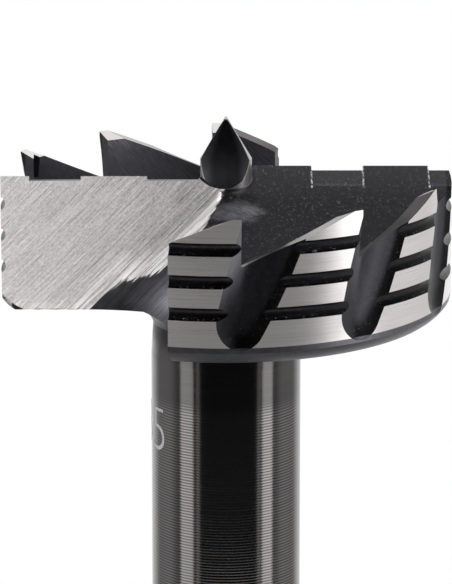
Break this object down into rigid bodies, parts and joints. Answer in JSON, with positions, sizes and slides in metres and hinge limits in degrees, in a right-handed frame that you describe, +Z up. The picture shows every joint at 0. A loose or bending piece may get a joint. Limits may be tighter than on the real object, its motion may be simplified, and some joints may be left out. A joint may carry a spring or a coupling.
{
  "type": "forstner bit",
  "caption": "Forstner drill bit with a wave-cut toothed rim, stepped cutting lips, a hollow-ground centring spike and a plain round shank.",
  "frame": {"origin": "centre of the shank's end face, on the axis, at the bottom of the bit as it stands", "axes": "+Z up the axis from the shank end to the spike's point; +X along one cutting lip, the other lip along -X"},
  "size_m": [0.035, 0.035, 0.0898],
  "materials": {
    "tool_steel": "blackened tool steel with bright ground lips, tooth lands and tooth tops"
  },
  "bodies": {
    "root": {"forstner_bit": "tool_steel"}
  },
  "joints": []
}
